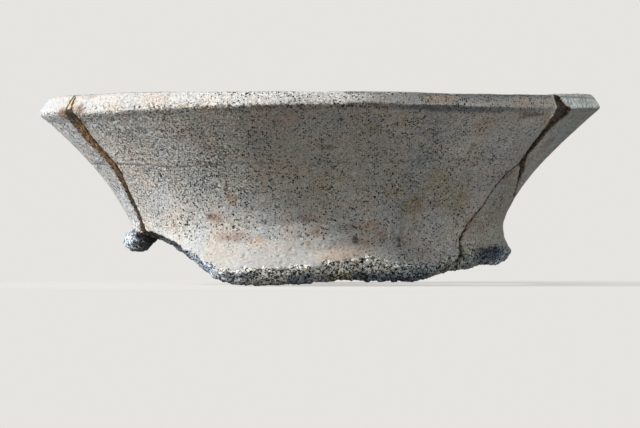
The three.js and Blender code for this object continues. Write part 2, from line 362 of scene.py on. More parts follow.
def grain_specks(tree, place, size, low, high, most, edge, spread):
    """Specks in a share of the cells of a Voronoi pattern.

    A cell whose chance lies above low has a speck, and the largest fill their cells up to most times spread.
    """
    cells = add_node(tree, "TexVoronoi", {"Vector": place, "Scale": per(size)})
    chance = add_node(tree, "SeparateColor", {"Color": cells.outputs["Color"]}).outputs["Red"]
    reach = add_node(tree, "MapRange", {
        "Value": chance, "From Min": low, "From Max": high, "To Min": 0.0, "To Max": most}).outputs["Result"]
    reach = add_node(tree, "Math", {0: reach, 1: spread}, operation="MULTIPLY").outputs[0]
    inside = add_node(tree, "Math", {0: reach, 1: cells.outputs["Distance"]}, operation="SUBTRACT")
    return add_node(tree, "MapRange", {
        "Value": inside.outputs[0], "From Min": 0.0, "From Max": edge}).outputs["Result"]


def jumbled(tree, place, reach):
    """The place moved about by up to a reach in millimetres, so that what is drawn there has ragged edges."""
    push = add_node(tree, "TexNoise", {
        "Vector": place, "Scale": per(RAGGED), "Detail": 2.0, "Roughness": 0.7}).outputs["Color"]
    push = add_node(tree, "VectorMath", {0: push, 1: (0.5, 0.5, 0.5)},
                    operation="SUBTRACT").outputs[0]
    push = add_node(tree, "VectorMath", {0: push, 3: reach * MM}, operation="SCALE").outputs[0]
    return add_node(tree, "VectorMath", {0: place, 1: push}, operation="ADD").outputs[0]


def granular(tree, place, ragged, size, own=0.14, detail=3.0):
    """Crisp grains of a size in millimetres, about 0.5 on the whole; own is how far their tones differ."""
    soft = add_node(tree, "TexNoise", {
        "Vector": place, "Scale": per(size * 1.25), "Detail": detail, "Roughness": 0.9}).outputs["Fac"]
    cells = add_node(tree, "TexVoronoi", {"Vector": ragged, "Scale": per(size)}).outputs["Color"]
    tone = add_node(tree, "SeparateColor", {"Color": cells}).outputs["Red"]
    tone = add_node(tree, "MapRange", {
        "Value": tone, "To Min": -own, "To Max": own}).outputs["Result"]
    return add_node(tree, "Math", {0: soft, 1: tone}, operation="ADD").outputs[0]


def backdrop_rays(tree):
    """1 for the rays that show the backdrop: the camera's, and those that come off or through a gloss."""
    path = add_node(tree, "LightPath").outputs
    gloss = add_node(tree, "Math", {0: path["Is Glossy Ray"], 1: path["Is Transmission Ray"]},
                     operation="ADD").outputs[0]
    return add_node(tree, "Math", {0: path["Is Camera Ray"], 1: gloss},
                    operation="ADD", use_clamp=True).outputs[0]


def stained_skin(tree, place, clay):
    """Cloudy clay, warmer here and cooler there, with the sherd's tint and its stains."""
    clouds = add_node(tree, "TexNoise", {
        "Vector": place, "Scale": per(17), "Detail": 5.0, "Roughness": 0.62}).outputs["Fac"]
    skin = add_node(tree, "ValToRGB", {"Fac": clouds}, stops=[
        (0.32, [channel * 0.855 for channel in clay]), (0.50, clay),
        (0.66, [channel * 1.16 for channel in clay])]).outputs["Color"]
    warmth = add_node(tree, "TexNoise", {
        "Vector": place, "Scale": per(10), "Detail": 5.0, "Roughness": 0.7}).outputs["Color"]
    warmth = add_node(tree, "SeparateColor", {"Color": warmth}).outputs["Green"]
    warmth = add_node(tree, "ValToRGB", {"Fac": warmth}, stops=[
        (0.38, "#F0F3F5"), (0.50, "#F7F5F0"), (0.62, "#FBEFE3")]).outputs["Color"]
    skin = add_node(tree, "Mix", {0: 1.0, 6: skin, 7: warmth}, **TIMES).outputs[2]
    tint = add_node(tree, "Attribute", attribute_name="tint").outputs["Color"]
    skin = add_node(tree, "Mix", {0: 1.0, 6: skin, 7: tint}, **TIMES).outputs[2]

    stain = add_node(tree, "Attribute", attribute_name="stain").outputs
    blots = add_node(tree, "TexNoise", {
        "Vector": place, "Scale": per(0.9), "Detail": 4.0, "Roughness": 0.8}).outputs["Fac"]
    spread = add_node(tree, "MapRange", {
        "Value": blots, "From Min": 0.38, "From Max": 0.62, "To Min": 0.35, "To Max": 1.3}).outputs["Result"]
    share = add_node(tree, "Math", {0: stain["Alpha"], 1: spread},
                     operation="MULTIPLY", use_clamp=True).outputs[0]
    return add_node(tree, "Mix", {0: share, 6: skin, 7: stain["Color"]}, **OVER).outputs[2]


def gritty_skin(tree, place, ragged, skin):
    """Sand and grit in the skin, more of it where the skin is worn, and how high its grains stand.

    Two attributes say how worn it is: grit for the sand and the pale grains, specks for the dark ones.
    """
    even = jumbled(tree, place, 0.4)
    grit = add_node(tree, "Attribute", attribute_name="grit").outputs["Fac"]
    specks = add_node(tree, "Attribute", attribute_name="specks").outputs["Fac"]
    fine = granular(tree, place, even, SAND, own=0.28, detail=1.0)
    sand = add_node(tree, "ValToRGB", {"Fac": fine}, stops=[
        (0.18, 0.40), (0.34, 0.76), (0.50, 1.0), (0.66, 1.30), (0.82, 1.7)]).outputs["Color"]
    skin = add_node(tree, "Mix", {0: grit, 6: skin, 7: sand}, **TIMES).outputs[2]
    dashes = add_node(tree, "Mapping", {
        "Vector": ragged, "Rotation": (0.4, 0.5, 0.0), "Scale": (1.0, 1.0, 1.9)}).outputs["Vector"]
    pale = grain_specks(tree, even, PALE_GRIT, 0.50, 1.0, 0.38, 0.06, grit)
    dust = grain_specks(tree, even, DUST, 0.30, 0.85, 0.46, 0.06, grit)
    small = grain_specks(tree, even, SMALL_SPECKS, 0.40, 0.92, 0.53, 0.05, specks)
    large = grain_specks(tree, dashes, LARGE_SPECKS, 0.42, 1.0, 0.34, 0.03, specks)
    for share, tone in ((pale, "#E2E0DB"), (dust, "#403D38"), (small, "#23201D"), (large, "#201D1B")):
        skin = add_node(tree, "Mix", {0: share, 6: skin, 7: hex_colour(tone)}, **OVER).outputs[2]
    pits = add_node(tree, "Math", {0: fine, 1: small}, operation="SUBTRACT").outputs[0]
    return skin, pits


def crumbled(tree, place, ragged, skin):
    """The granular core of the wall, where the skin has come away.

    The broken attribute falls off into the skin, and grains decide how far the skin has crumbled.
    """
    broken = add_node(tree, "Attribute", attribute_name="broken").outputs["Fac"]
    fray = add_node(tree, "TexNoise", {
        "Vector": place, "Scale": per(0.8), "Detail": 4.0, "Roughness": 0.9}).outputs["Fac"]
    fray = add_node(tree, "MapRange", {
        "Value": fray, "From Min": 0.32, "From Max": 0.68, "To Min": -0.5, "To Max": 0.5}).outputs["Result"]
    broken = add_node(tree, "Math", {0: broken, 1: fray}, operation="ADD").outputs[0]
    broken = add_node(tree, "MapRange", {
        "Value": broken, "From Min": 0.42, "From Max": 0.56}).outputs["Result"]
    lumps = granular(tree, place, ragged, CORE_GRAINS, own=0.20, detail=2.0)
    core = add_node(tree, "ValToRGB", {"Fac": lumps}, stops=[
        (0.35, "#121518"), (0.46, "#5A6064"), (0.53, "#C0C5C8"), (0.60, "#FFFFFF")]).outputs["Color"]
    hues = add_node(tree, "Attribute", attribute_name="core").outputs["Color"]
    core = add_node(tree, "Mix", {0: 1.0, 6: core, 7: hues}, **TIMES).outputs[2]
    return add_node(tree, "Mix", {0: broken, 6: skin, 7: core}, **OVER).outputs[2]


def sandy_earthenware(clay):
    """Coarse unglazed earthenware, tempered with sand and turned on a wheel.

    It gives the eye a dry, chalky grey skin full of dark and pale grit, iron stains that have bled into it,
    and breaks where the dark, granular core of the wall shows.
    """
    material, tree, shader = new_material("sand_tempered_earthenware")
    place = add_node(tree, "TexCoord").outputs["Object"]
    ragged = jumbled(tree, place, 1.1)
    skin, pits = gritty_skin(tree, place, ragged, stained_skin(tree, place, clay))
    tree.links.new(crumbled(tree, place, ragged, skin), shader.inputs["Base Color"])
    bump = add_node(tree, "Bump", {"Height": pits, "Distance": 0.10 * MM, "Strength": 0.6})
    tree.links.new(bump.outputs["Normal"], shader.inputs["Normal"])
    shader.inputs["Roughness"].default_value = 0.95
    shader.inputs["Specular IOR Level"].default_value = 0.2
    return material


def aged_glue(name, dark, middle, pale):
    """Old conservation glue, run into a crack, gone brown and full of crumbs of the pot.

    It gives the eye a grainy brown line, a little glossier than the clay.
    """
    material, tree, shader = new_material(name)
    place = add_node(tree, "TexCoord").outputs["Object"]
    tone = granular(tree, place, jumbled(tree, place, 1.1), GLUE_CRUMBS)
    colour = add_node(tree, "ValToRGB", {"Fac": tone}, stops=[
        (0.42, dark), (0.50, middle), (0.60, pale)]).outputs["Color"]
    run = add_node(tree, "Attribute", attribute_name="run").outputs
    colour = add_node(tree, "Mix", {0: run["Alpha"], 6: colour, 7: run["Color"]}, **OVER).outputs[2]
    tree.links.new(colour, shader.inputs["Base Color"])
    bump = add_node(tree, "Bump", {"Height": tone, "Distance": 0.3 * MM, "Strength": 0.6})
    tree.links.new(bump.outputs["Normal"], shader.inputs["Normal"])
    shader.inputs["Roughness"].default_value = 0.7
    shader.inputs["Specular IOR Level"].default_value = 0.25
    return material


def matt_paper(pale, lift):
    """Matt grey studio paper.

    It gives the eye an even floor that takes the object's shadow and fades into the backdrop farther off.
    """
    material, tree, shader = new_material("matt_paper")
    seen = backdrop_rays(tree)
    place = add_node(tree, "TexCoord").outputs["Object"]
    away = add_node(tree, "VectorMath", {0: place}, operation="LENGTH").outputs["Value"]
    far = add_node(tree, "MapRange", {
        "Value": away, "From Min": SHADOW_END, "From Max": BACKDROP_START}).outputs["Result"]
    near = add_node(tree, "Math", {0: 1.0, 1: far}, operation="SUBTRACT").outputs[0]
    near = add_node(tree, "Math", {0: near, 1: seen}, operation="MULTIPLY").outputs[0]
    share = add_node(tree, "Math", {0: seen, 1: far}, operation="MULTIPLY").outputs[0]
    glow = add_node(tree, "Emission", {"Color": pale, "Strength": 1.0}).outputs[0]
    shader.inputs["Base Color"].default_value = hex_colour("#8C8A87")
    shader.inputs["Roughness"].default_value = 0.95
    both = add_node(tree, "MixShader", {0: share, 1: shader.outputs[0], 2: glow}).outputs[0]
    lifted = add_node(tree, "Math", {0: near, 1: lift}, operation="MULTIPLY").outputs[0]
    lifted = add_node(tree, "Emission", {"Color": pale, "Strength": lifted}).outputs[0]
    both = add_node(tree, "AddShader", {0: both, 1: lifted}).outputs[0]
    tree.links.new(both, tree.nodes["Material Output"].inputs["Surface"])
    return material


def only(piece):
    """Makes a piece the one selected object."""
    for thing in bpy.context.selected_objects:
        thing.select_set(False)
    piece.select_set(True)
    bpy.context.view_layer.objects.active = piece


def apply_modifier(piece, kind, **settings):
    """Adds a modifier to a piece and applies it."""
    modifier = piece.modifiers.new(kind.lower(), kind)
    for name, value in settings.items():
        setattr(modifier, name, value)
    only(piece)
    bpy.ops.object.modifier_apply(modifier=modifier.name)


def fine_copy(node, name, voxel):
    """A copy of a solid with its loose triangles joined, divided finely enough to carve."""
    piece = bpy.data.objects.new(name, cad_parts[node].data.copy())
    piece.data.materials.clear()
    bpy.context.scene.collection.objects.link(piece)
    only(piece)
    bpy.ops.object.mode_set(mode="EDIT")
    bpy.ops.mesh.select_all(action="SELECT")
    bpy.ops.mesh.remove_doubles(threshold=0.001 * MM)
    bpy.ops.object.mode_set(mode="OBJECT")
    apply_modifier(piece, "REMESH", mode="VOXEL", voxel_size=voxel, use_smooth_shade=True)
    if not piece.data.vertices:
        raise RuntimeError(f"Nothing is left of {node} at this grain")
    return piece


def vertex_values(piece, field):
    """The place or normal of each vertex, whose fields are co and normal."""
    values = np.empty(len(piece.data.vertices) * 3, np.float32)
    piece.data.vertices.foreach_get(field, values)
    return values.reshape(-1, 3).astype(float)


def move_points(piece, points):
    """Puts the vertices in new places, kept inside the solids' own box."""
    low, high = (np.array(corner) for corner in CAD_BOX)
    piece.data.vertices.foreach_set("co", np.clip(points, low, high).ravel())
    piece.data.update()


def set_group(piece, name, weights):
    """A vertex group with a weight for each vertex."""
    group = piece.vertex_groups.new(name=name)
    levels = np.round(np.clip(weights, 0, 1) * 20).astype(int)
    for level in range(1, 21):
        members = np.nonzero(levels == level)[0].tolist()
        if members:
            group.add(members, level / 20, "REPLACE")


def set_attribute(piece, name, values):
    """An attribute with a number or a colour for each vertex."""
    kind, field = ("FLOAT", "value") if values.ndim == 1 else ("FLOAT_COLOR", "color")
    attribute = piece.data.attributes.new(name, kind, "POINT")
    attribute.data.foreach_set(field, values.astype(np.float32).ravel())


def texture(name, kind, size, **settings):
    """A displacement texture whose features have a size in millimetres."""
    pattern = bpy.data.textures.get(name) or bpy.data.textures.new(name, kind)
    pattern.noise_scale = size * MM
    for key, value in settings.items():
        setattr(pattern, key, value)
    return pattern


def distance_to(points, nodes, limit):
    """How far each point lies from the nearest of some solids, in millimetres, up to a limit."""
    found = np.full(len(points), limit)
    for node in nodes:
        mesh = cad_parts[node].data
        corners = [vertex.co for vertex in mesh.vertices]
        tree = BVHTree.FromPolygons(corners, [polygon.vertices[:] for polygon in mesh.polygons])
        low, high = (np.array(corner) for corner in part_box(node))
        near = np.all((points > low - limit * MM) & (points < high + limit * MM), axis=1)
        for i in np.nonzero(near)[0]:
            hit = tree.find_nearest(Vector(points[i]), limit * MM)
            if hit[0] is not None:
                found[i] = min(found[i], hit[3] / MM)
    return found


def distance_from(points, chosen, limit):
    """How far each point lies from the nearest chosen point, in millimetres, up to a limit."""
    found = np.full(len(points), limit)
    members = points[chosen]
    if not len(members):
        return found
    tree = KDTree(len(members))
    for i, point in enumerate(members):
        tree.insert(Vector(point), i)
    tree.balance()
    low, high = members.min(0) - limit * MM, members.max(0) + limit * MM
    near = np.all((points > low) & (points < high), axis=1)
    for i in np.nonzero(near)[0]:
        found[i] = min(found[i], tree.find(Vector(points[i]))[2] / MM)
    return found


def around(angle, other, radius):
    """The way round the pot between angles in degrees, in millimetres at a radius."""
    return np.radians((angle - other + 180) % 360 - 180) * radius


def survey(piece, node):
    """Where each vertex lies and what it is part of: skin, lip, crack face or break."""
    points = vertex_values(piece, "co")
    normals = vertex_values(piece, "normal")
    x, y, z = (points / MM).T
    radius = np.hypot(x, y)
    out = np.stack([x, y], 1) / radius[:, None]
    radial = (normals[:, :2] * out).sum(1)
    rise = normals[:, 2]
    step = 0.05
    slope = (outer_radius(z + step) - outer_radius(z - step)) / (2 * step)
    along = np.abs(radial - rise * slope) / np.hypot(1, slope)
    across = np.abs(normals[:, 0] * -out[:, 1] + normals[:, 1] * out[:, 0])
    place = {"points": points, "normals": normals, "z": z, "radius": radius,
             "angle": np.degrees(np.arctan2(x, -y)), "outside": radial > 0}
    others = [other for other in SHERD_TINTS if other != node]
    place["sherd_gap"] = distance_to(points, others, 2.5)
    place["glue_gap"] = distance_to(points, SEAM_DEPTHS, 4.0)
    gap = np.minimum(place["sherd_gap"], place["glue_gap"])
    high = z > LIP_ZONE
    facing = np.where(high, across > 0.6, along < 0.62)
    place["crack"] = facing & (gap < 0.75)
    place["break"] = (z < BREAK_TOP) & (depth_in_wall(z, radius) > 0.4) & ~place["crack"]
    lip = high & (radial > 0.1) & (rise > 0.05) & ~place["crack"]
    place["to_break"] = distance_from(points, place["break"], 5.0)
    place["to_lip"] = np.where(z > 40, distance_from(points, lip, 3.0), 3.0)
    return place


def ellipse(place, angle, height, width, tall):
    """1 in the middle of a patch of the outer skin, falling to 0 past its edge."""
    away = np.hypot(around(place["angle"], angle, place["radius"]) / width, (place["z"] - height) / tall)
    return np.where(place["outside"], smoothstep(1.8, 0.3, away), 0.0)


def spread_of_breaks(place):
    """How broken each vertex is: 1 in a break, falling to 0 where the skin beside it is whole."""
    ragged = 1.4 * noise_at(place["points"], 3.4) + 0.8 * noise_at(place["points"], 1.5)
    sharp = stretch(place, "sharp edge")
    wide = 1.8 - 1.1 * sharp + 1.4 * stretch(place, "crumbled edge")
    edge = smoothstep(wide, 0.1, place["to_break"] - (1.0 - 0.8 * sharp) * ragged)
    spalls = np.zeros(len(ragged))
    for angle, height, width, tall in SPALLS:
        spalls = np.maximum(spalls, ellipse(place, angle, height, width, tall))
    spalls = smoothstep(0.2, 0.8, spalls + 0.35 * ragged - 0.1)
    bare_knob = smoothstep(14.6, 13.2, place["z"] + 1.2 * noise_at(place["points"], 1.6))
    bare_knob *= stretch(place, "knob skin")
    return np.maximum.reduce([edge, spalls, 0.9 * bare_knob, place["break"] * 1.0]) * ~place["crack"]


def groove_depth(place):
    """How deep the scored line is at each vertex, from 0 to 1."""
    angles, heights, strengths = zip(*GROOVE)
    middle = np.interp(place["angle"], angles, heights) + 0.25 * noise_at(place["points"], 9.0)
    strength = np.interp(place["angle"], angles, strengths)
    patchy = smoothstep(-0.5, 0.3, noise_at(place["points"], 5.0))
    return np.where(place["outside"], strength * patchy * hump(place["z"], middle, 0.3), 0.0)


def turning_ridges(place):
    """The ridges that fingers and tool leave as the wheel turns, in millimetres."""
    z = place["z"] + 0.8 * np.sin(np.radians(place["angle"] * 2 + 40))
    patchy = smoothstep(-0.4, 0.5, noise_at(place["points"] * [1, 1, 2.5], 16.0))
    outside = patchy * (0.025 * np.sin(z * 2.9) + 0.02 * np.sin(z * 4.7 + 1.0))
    inside = 0.16 * np.sin(z * 0.95) + 0.07 * np.sin(z * 2.3 + 0.7)
    return np.where(place["outside"], outside, inside)


def lay(stain, tone, strength):
    """Lays a tone over the stains so far, each of which is a colour and its strength."""
    colour = np.array(hex_colour(TONES[tone])[:3])
    strength = np.clip(strength, 0, 1)[:, None]
    total = strength + stain[:, 3:] * (1 - strength)
    blend = colour * strength + stain[:, :3] * stain[:, 3:] * (1 - strength)
    stain[:, :3] = blend / np.maximum(total, 1e-6)
    stain[:, 3:] = total


def stain_lip(stain, place, lip):
    """The lip: chalky on the left, sooty on the right and frosty on the far sherd, with dirt at its brink;
    painted light whitens its rounded top edge on the left, a painted highlight over a painted shade line runs
    along the top of the far sherd's lip, and painted shade darkens the wall under the lip from the left to
    the front.
    """
    angle = place["angle"]
    z = place["z"]
    left = lip * stretch(place, "left lip")
    right = lip * stretch(place, "right lip")
    lay(stain, "white", (0.10 + 0.42 * smoothstep(-38, -8, angle)) * left)
    lay(stain, "frost", 0.85 * lip * stretch(place, "far lip"))
    lay(stain, "soot", (0.10 + 0.60 * smoothstep(49.6, 51.4, z)) * right)
    lay(stain, "white", 0.45 * right * smoothstep(49.4, 48.6, z) * smoothstep(44, 30, angle))
    # Painted light: whitens the lip's rounded top edge on the left, which turns up away from the key lamp
    lay(stain, "white", 0.5 * left * smoothstep(51.2, 51.9, z))
    brink = place["outside"] * hump(z, LIP_FOOT - 0.2, 0.9) * stretch(place, "lip brink")
    crumbs = noise_at(place["points"], 0.75)
    lay(stain, "ink", 0.95 * brink * smoothstep(0.04, 0.26, crumbs))
    lay(stain, "peach", 0.7 * brink * smoothstep(-0.10, -0.35, crumbs) * smoothstep(-46, -34, angle))
    # Painted shade: darkens the wall just under the lip, from the left to the front
    under_lip_shade = smoothstep(2.6, 1.3, place["to_lip"] + 0.4 * noise_at(place["points"], 3.0))
    lay(stain, "ink", 0.35 * under_lip_shade * place["outside"] * (1 - lip) * stretch(place, "shade under lip"))
    # Painted highlight along the top edge of the far sherd's lip, with a painted shade line just under it
    rim = place["outside"] * lip * stretch(place, "far rim")
    lay(stain, "white", 0.8 * rim * smoothstep(51.1, 51.4, z))
    lay(stain, "ink", 0.6 * rim * smoothstep(0.3, 0.1, np.abs(z - 50.9)))


def stain_cracks(stain, place, groove):
    """Glue smeared along the seams, and dirt in the cracks and in the scored line."""
    angle = place["angle"]
    halo = place["glue_gap"] + 0.5 * noise_at(place["points"], 1.4) + 0.4 * noise_at(place["points"], 0.7)
    warm = smoothstep(1.3, 0.3, halo)
    low = smoothstep(36, 28, place["z"])
    drops = smoothstep(0.0, 0.3, noise_at(place["points"], 0.8)) * smoothstep(2.4, 0.6, place["glue_gap"])
    lay(stain, "glue", 0.8 * drops * (1 - 0.6 * low) * stretch(place, "glue spatter"))
    lay(stain, "orange", (0.25 + 0.45 * low) * warm * (angle < 0) + 0.3 * warm * (angle > 0))
    scraped = (place["z"] > 45) * stretch(place, "scraped lip")
    lay(stain, "white", 0.9 * scraped * smoothstep(1.9, 1.1, halo))
    lay(stain, "glue", smoothstep(0.7, 0.1, halo))
    lay(stain, "glue", 0.9 * smoothstep(0.75, 0.3, place["sherd_gap"]))
    lay(stain, "ink", 0.9 * place["crack"])
    lay(stain, "ink", 0.8 * groove)


def core_colours(place):
    """Colours of the broken wall, which change round the pot and with the height."""
    angle = place["angle"]
    points = place["points"]
    where = angle + 5 * noise_at(points, 3.0) + 5 * noise_at(points, 1.1)
    core = np.ones((len(angle), 4))
    for channel in range(3):
        tones = [(at, hex_colour(code)[channel] * gain) for at, code, gain in CORE]
        core[:, channel] = line_through(tones, where)

    # The front break is dull below and pale above, less so towards the right; its pale crumbs at the foot are
    # brightened further as painted light, since that edge faces down into shade
    front = stretch(place, "front break")
    level = place["z"] + 0.9 * noise_at(points, 1.8)
    calmer = 1 - 0.65 * smoothstep(18, 30, angle)
    gain = 1 + front * (0.95 * calmer * smoothstep(2.6, 4.8, level) - 0.25)
    gain += 1.2 * smoothstep(1.0, 0.4, level) * front
    gain *= 1 + 0.7 * smoothstep(7.6, 5.8, level) * stretch(place, "right break")

    # A dark blue patch lies right of the right-hand seam, and a black wedge at the seam's foot
    patch = ellipse(place, 66.0, 8.8, 9.0, 2.2)[:, None]
    core[:, :3] *= 1 - patch * np.array([0.62, 0.54, 0.42])
    wedge = np.maximum(ellipse(place, 46.3, 8.0, 1.0, 1.1), ellipse(place, 44.6, 6.6, 1.2, 0.8))
    gain *= 1 - 0.9 * wedge

    # Painted shade: the knob is darkened on the side that faces the middle, which turns away from the key
    # lamp
    knob_shade = points[:, 0] / MM + 2.6 * noise_at(points, 2.2) + 1.6 * noise_at(points, 0.9)
    knob_shade = smoothstep(-51.5, -47.0, knob_shade) * smoothstep(-58, -66, angle) * (angle > -110)
    gain *= 1 - 0.85 * knob_shade
    pale = (front * calmer * smoothstep(3.0, 4.6, level))[:, None]
    core[:, :3] = core[:, :3] * (1 - pale) + np.array(hex_colour("#D2CFC4")[:3]) * pale * 0.9
    core[:, :3] = np.minimum(core[:, :3] * gain[:, None], 1.0)
    return core


def skin_tint(place, tint, lip):
    """What the skin's colour is multiplied by: the sherd's own tint; painted shade on the middle of the
    flare, under the lip on the left and low on the front; a lighter top to the left flare; dark spots; and a
    painted shadow line under the right half of the lip.
    """
    angle = place["angle"]
    z = place["z"]
    wall = place["outside"] * (1 - lip)
    shade = np.ones((len(angle), 4))
    shade[:, :3] = np.array(hex_colour(tint)[:3]) / np.array(hex_colour(PLAIN_CLAY)[:3])
    # Painted shade: the middle of the flare, which faces down and away from the lamps, is darkened and warmed
    centre_shade = hump(angle, 3, 27) * hump(z, 36, 15) * wall
    shade[:, :3] *= 1 - centre_shade[:, None] * np.array([0.12, 0.12, 0.17])
    # Painted shade in a band just under the lip, on the left
    dark = 0.26 * hump(z, LIP_FOOT - 2.0, 1.1) * stretch(place, "shade under left lip")
    dark -= 0.22 * smoothstep(37, 42, z) * stretch(place, "left flare")
    # Painted shade on the lower neck in front, so that it brightens only lower down where the shoulder turns
    # up to the light
    dark += 0.22 * hump(angle, 9, 11) * hump(z, 12, 4)
    for where, height, width, tall, strength in SPOTS:
        dark += strength * ellipse(place, where, height, width, tall)
    shade[:, :3] *= 1 - (dark * wall)[:, None]
    # Painted shadow: a slate-blue line under the overhang of the right half of the lip
    reach = line_through(LIP_SHADOW_REACH, angle)
    frayed = place["to_lip"] + 0.5 * noise_at(place["points"], 1.0) + 0.3 * noise_at(place["points"], 3.0)
    line = wall * smoothstep(reach + 0.5, reach - 0.6, frayed) * line_through(LIP_SHADOW_STRENGTH, angle)
    shade[:, :3] *= 1 - line[:, None] * np.array([0.63, 0.58, 0.53])
    return shade


def wear(place, lip, foot):
    """How much pale sand shows in the skin at each vertex, and how many dark specks."""
    angle = place["angle"]
    worn = smoothstep(-8, -28, angle + 6 * noise_at(place["points"], 12.0)) * smoothstep(-160, -120, angle)
    calm_lip = lip * stretch(place, "left lip") * smoothstep(-2, -46, angle)
    grit = (0.60 + 0.40 * worn) * (1 - 0.6 * calm_lip) * (1 - 0.5 * foot)
    grit *= 1 - 0.35 * worn * smoothstep(28, 20, place["z"]) * (angle > -64)
    grit *= 1 + 0.2 * stretch(place, "left side")
    clusters = smoothstep(-0.4, 0.3, noise_at(place["points"], 8.0))
    specks = (0.80 + 0.24 * clusters + 0.06 * worn) * (1 - 0.4 * calm_lip) * (1 - 0.45 * foot)
    specks *= 1 + 0.1 * stretch(place, "left side")
    return np.where(place["outside"], grit, 0.5), specks


def paint(piece, place, broken, groove, tint):
    """Stains, tones and grit of the skin, as attributes that the clay reads."""
    lip = smoothstep(0.5, 0.0, place["to_lip"])
    foot = smoothstep(17, 9, place["z"] + 2.0 * noise_at(place["points"], 6.0))
    foot *= stretch(place, "smooth foot")
    stain = np.zeros((len(broken), 4))
    stain_lip(stain, place, lip)
    lay(stain, "white", 0.12 * foot)
    for tone, where, height, width, tall, strength in STAINS:
        gain = IRON if tone in ("rust", "orange") else 1.0
        lay(stain, tone, gain * strength * ellipse(place, where, height, width, tall))
    stain_cracks(stain, place, groove)
    grit, specks = wear(place, lip, foot)
    set_attribute(piece, "stain", stain)
    set_attribute(piece, "broken", broken)
    set_attribute(piece, "core", core_colours(place))
    set_attribute(piece, "tint", skin_tint(place, tint, lip))
    set_attribute(piece, "grit", grit)
    set_attribute(piece, "specks", specks)


def seam_run(points, z, radial):
    """Colours over the left seam: a pale and a black line on the lip, and a black core low down."""
    angle = np.degrees(np.arctan2(points[:, 0], -points[:, 1]))
    levels = np.arange(-1, RIM_TOP + 2)
    middle = []
    half = []
    for level in levels:
        near = angle[(np.abs(z - level) < 1.2) & (radial > 0.3)]
        middle.append(near.mean() if len(near) else np.nan)
        half.append(0.5 * np.ptp(near) if len(near) else np.nan)
    known = ~np.isnan(middle)
    # Across the seam, side goes from -1 at its left edge to 1 at its right one
    side = angle - np.interp(z, levels[known], np.array(middle)[known])
    side /= np.interp(z, levels[known], np.array(half)[known])
    side += 0.35 * noise_at(points, 1.2)
    on_lip = smoothstep(LIP_FOOT - 0.6, LIP_FOOT, z) * (np.abs(side) < 0.6)
    rim_edge = smoothstep(LIP_FOOT - 0.6, LIP_FOOT, z) * (np.abs(side) >= 0.6)
    hole = window(z, LIP_FOOT - 3.2, LIP_FOOT - 2.6, LIP_FOOT - 0.4, LIP_FOOT + 0.2)
    core = smoothstep(38, 24, z) * (1 - 0.75 * smoothstep(-0.45, -0.75, side))
    # Black fills the core and the hole under the lip, pale glue and clay cover it on the lip
    run = np.empty((len(points), 4))
    run[:, :3] = hex_colour("#120B06")[:3]
    run[:, 3] = np.clip(0.95 * hole + 0.9 * core + 0.9 * on_lip * (side > 0.15), 0, 1)
    pale = on_lip * (side <= 0.15)
    run[pale > 0, :3] = hex_colour("#B8AE88")[:3]
    run[rim_edge > 0, :3] = hex_colour("#B9B5AC")[:3]
    run[:, 3] = np.maximum(run[:, 3], 0.85 * np.maximum(pale, rim_edge))
    return run


def flow(piece, node):
    """Swells the glue to its sherds, sinks and roughens its face, and colours the left seam."""
    points = vertex_values(piece, "co")
    normals = vertex_values(piece, "normal")
    radial = (normals[:, :2] * points[:, :2]).sum(1) / np.hypot(points[:, 0], points[:, 1])
    face = smoothstep(0.2, 0.6, radial)
    rough = 0.28 * noise_at(points, 1.3) + 0.14 * noise_at(points, 0.6)
    depth = GLUE_SWELL - face * SEAM_DEPTHS[node] + rough * (0.35 + 0.65 * face)
    move_points(piece, points + normals * (depth * MM)[:, None])
    run = np.zeros((len(points), 4))
    if node == "left_adhesive":
        run = seam_run(points, points[:, 2] / MM, radial)
    set_attribute(piece, "run", run)


